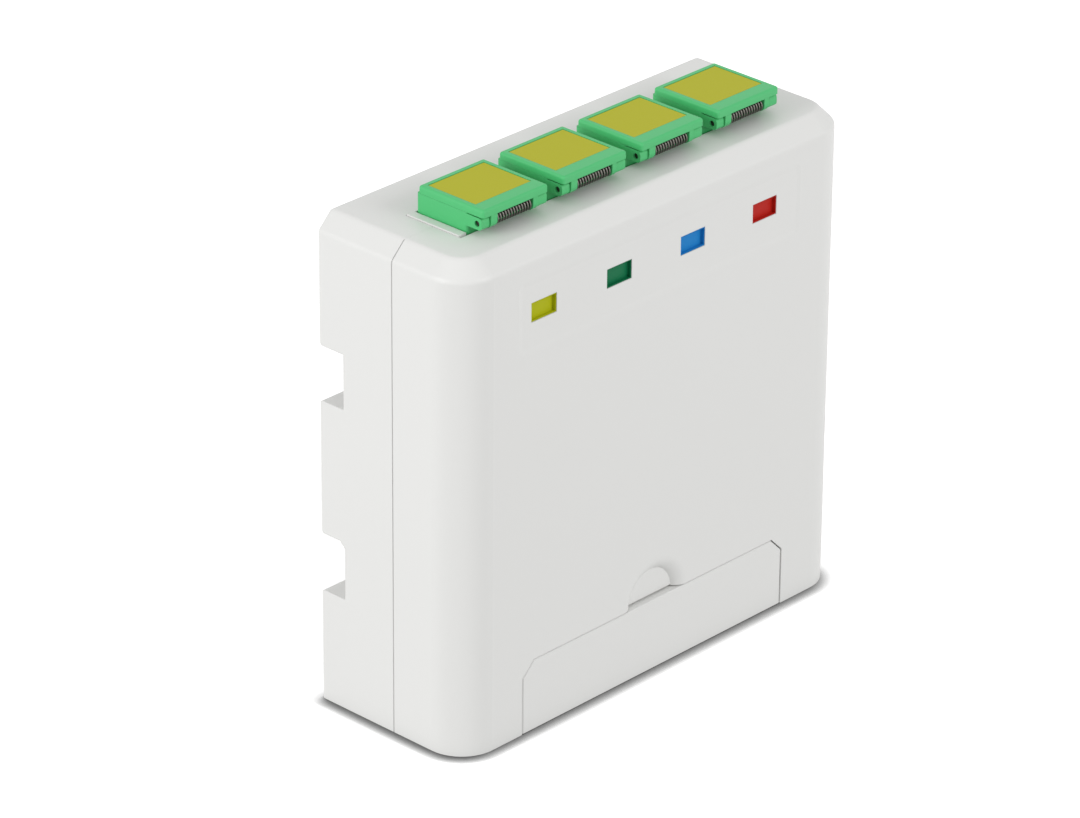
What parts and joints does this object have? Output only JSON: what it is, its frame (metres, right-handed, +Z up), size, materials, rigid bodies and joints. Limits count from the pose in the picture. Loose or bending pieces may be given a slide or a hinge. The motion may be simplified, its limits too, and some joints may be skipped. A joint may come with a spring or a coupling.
{
  "type": "din rail fibre box",
  "caption": "Slim two-shell fibre termination box for a 35 mm rail, with optical adapters under sprung flip lids on top, label windows and a hinged cable door.",
  "frame": {"origin": "middle of the base, halfway across the width and depth", "axes": "+X to the right seen from the front, +Y from the front to the rail, +Z up"},
  "size_m": [0.076, 0.027, 0.0765],
  "materials": {
    "case": "fine satin",
    "latch": "satin",
    "adapter": "satin",
    "port_latch": "satin",
    "label": "matt",
    "tab_yellow": "gloss",
    "tab_green": "gloss",
    "tab_blue": "gloss",
    "tab_red": "gloss",
    "tray": "satin",
    "soft_comb": "matt",
    "rubber": "matt",
    "sleeve": "polished",
    "pin_steel": "ground",
    "spring_steel": "drawn wire",
    "screw_steel": "zinc plated"
  },
  "bodies": {
    "case": {"back_shell": "case", "adapter_comb": "case", "latch_spring": "spring_steel", "splice_tray": "tray", "splice_comb": "soft_comb", "tray_screws": "screw_steel", "cable_clamp": "tray", "clamp_screws": "screw_steel", "cable_entry_plate": "case", "cable_grommet_left": "rubber", "cable_grommet_right": "rubber", "adapter_body_1": "adapter", "outer_port_latch_1": "port_latch", "inner_port_latch_1": "port_latch", "sleeve_1": "sleeve", "lid_pin_1": "pin_steel", "lid_spring_1": "spring_steel", "adapter_body_2": "adapter", "outer_port_latch_2": "port_latch", "inner_port_latch_2": "port_latch", "sleeve_2": "sleeve", "lid_pin_2": "pin_steel", "lid_spring_2": "spring_steel", "adapter_body_3": "adapter", "outer_port_latch_3": "port_latch", "inner_port_latch_3": "port_latch", "sleeve_3": "sleeve", "lid_pin_3": "pin_steel", "lid_spring_3": "spring_steel", "adapter_body_4": "adapter", "outer_port_latch_4": "port_latch", "inner_port_latch_4": "port_latch", "sleeve_4": "sleeve", "lid_pin_4": "pin_steel", "lid_spring_4": "spring_steel"},
    "front_cover": {"front_cover": "case", "port_tab_1": "tab_yellow", "port_tab_2": "tab_green", "port_tab_3": "tab_blue", "port_tab_4": "tab_red"},
    "cable_door": {"cable_door": "case"},
    "rail_latch": {"rail_latch": "latch"},
    "lid_1": {"lid_1": "adapter", "lid_label_1": "label"},
    "lid_2": {"lid_2": "adapter", "lid_label_2": "label"},
    "lid_3": {"lid_3": "adapter", "lid_label_3": "label"},
    "lid_4": {"lid_4": "adapter", "lid_label_4": "label"}
  },
  "joints": [
    {"name": "cover_pull", "type": "slide", "parent": "case", "child": "front_cover", "axis": [0, -1, 0], "range_m": [0, 0.04]},
    {"name": "door_hinge", "type": "hinge", "parent": "front_cover", "child": "cable_door", "pos_m": [-0.00035, -0.01175, 0.0017], "axis": [1, 0, 0], "range_deg": [0, 90]},
    {"name": "latch_slide", "type": "slide", "parent": "case", "child": "rail_latch", "axis": [0, 0, -1], "range_m": [0, 0.0026], "stiffness_N_per_m": 800, "springref_m": -0.003, "deforming": ["latch_spring"]},
    {"name": "lid_hinge_1", "type": "hinge", "parent": "case", "child": "lid_1", "pos_m": [-0.02265, -0.00694, 0.07435], "axis": [1, 0, 0], "range_deg": [0, 100], "stiffness_Nm_per_rad": 0.002, "springref_deg": -34.38},
    {"name": "lid_hinge_2", "type": "hinge", "parent": "case", "child": "lid_2", "pos_m": [-0.00755, -0.00694, 0.07435], "axis": [1, 0, 0], "range_deg": [0, 100], "stiffness_Nm_per_rad": 0.002, "springref_deg": -34.38},
    {"name": "lid_hinge_3", "type": "hinge", "parent": "case", "child": "lid_3", "pos_m": [0.00755, -0.00694, 0.07435], "axis": [1, 0, 0], "range_deg": [0, 100], "stiffness_Nm_per_rad": 0.002, "springref_deg": -34.38},
    {"name": "lid_hinge_4", "type": "hinge", "parent": "case", "child": "lid_4", "pos_m": [0.02265, -0.00694, 0.07435], "axis": [1, 0, 0], "range_deg": [0, 100], "stiffness_Nm_per_rad": 0.002, "springref_deg": -34.38}
  ]
}
